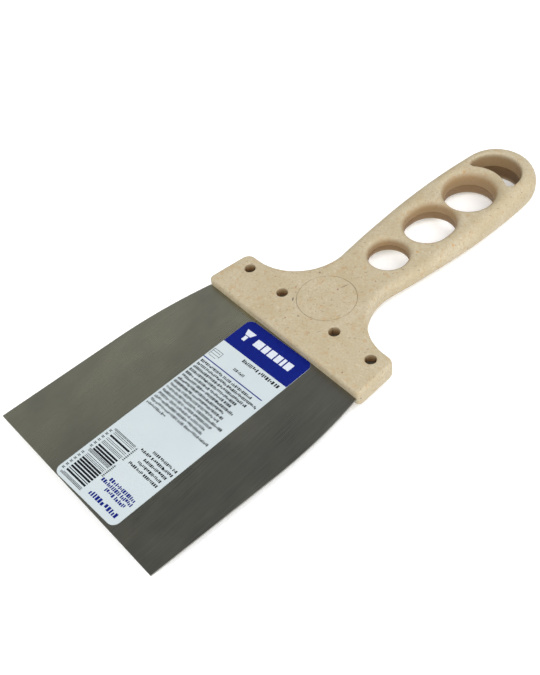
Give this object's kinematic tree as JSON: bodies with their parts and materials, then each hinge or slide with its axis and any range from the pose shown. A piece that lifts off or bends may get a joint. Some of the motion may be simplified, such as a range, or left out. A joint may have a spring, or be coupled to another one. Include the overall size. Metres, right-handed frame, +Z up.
{
  "type": "drywall taping knife",
  "caption": "Hand filling and taping knife with a thin flexible steel blade moulded into a flat composite handle with finger holes and a crescent hanging slot.",
  "frame": {"origin": "middle of the footprint, on the surface the tool lies on", "axes": "+Y from the working edge to the end of the grip, +Z up from the tool's face with the label on it, +X across the blade"},
  "size_m": [0.08, 0.2048, 0.012],
  "materials": {
    "blade_steel": "satin, rolled grain along the tool, lightly smudged",
    "handle_composite": "matte beige wood-fibre composite with fine brown flecks",
    "label_film": "satin printed film, pale with a blue band"
  },
  "bodies": {
    "root": {"blade": "blade_steel", "handle": "handle_composite", "label": "label_film"}
  },
  "joints": []
}
